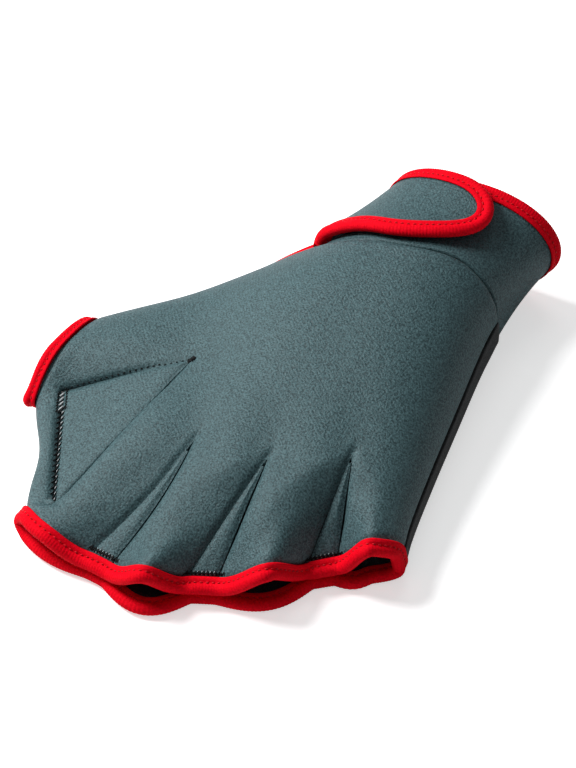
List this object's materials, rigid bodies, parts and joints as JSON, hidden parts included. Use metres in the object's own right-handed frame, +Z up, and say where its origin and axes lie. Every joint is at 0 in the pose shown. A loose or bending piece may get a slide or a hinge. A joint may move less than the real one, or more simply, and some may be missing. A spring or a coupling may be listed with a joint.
{
  "type": "webbed swim glove",
  "caption": "Fingerless webbed swim glove of neoprene, lying palm down, with bound finger and thumb openings and a cuff closed by a tab.",
  "frame": {"origin": "centre of the bounding box in plan, on the floor the glove lies on", "axes": "+X towards the little-finger side, +Y towards the wrist, +Z up out of the back of the hand"},
  "size_m": [0.1596, 0.208, 0.0543],
  "materials": {
    "grey_neoprene": "matte jersey face",
    "black_neoprene": "matte jersey face",
    "red_binding": "ribbed woven tape",
    "hook_pad": "hook side of touch fastener"
  },
  "bodies": {
    "root": {"back_panel": "grey_neoprene", "palm_panel": "black_neoprene", "web_thumb": "grey_neoprene", "web_index_middle": "grey_neoprene", "web_middle_ring": "grey_neoprene", "web_ring_little": "grey_neoprene", "finger_binding": "red_binding", "thumb_binding": "red_binding", "cuff": "grey_neoprene", "cuff_binding": "red_binding", "strap": "grey_neoprene", "strap_binding": "red_binding", "hook_patch": "hook_pad", "vent_binding": "red_binding"}
  },
  "joints": []
}
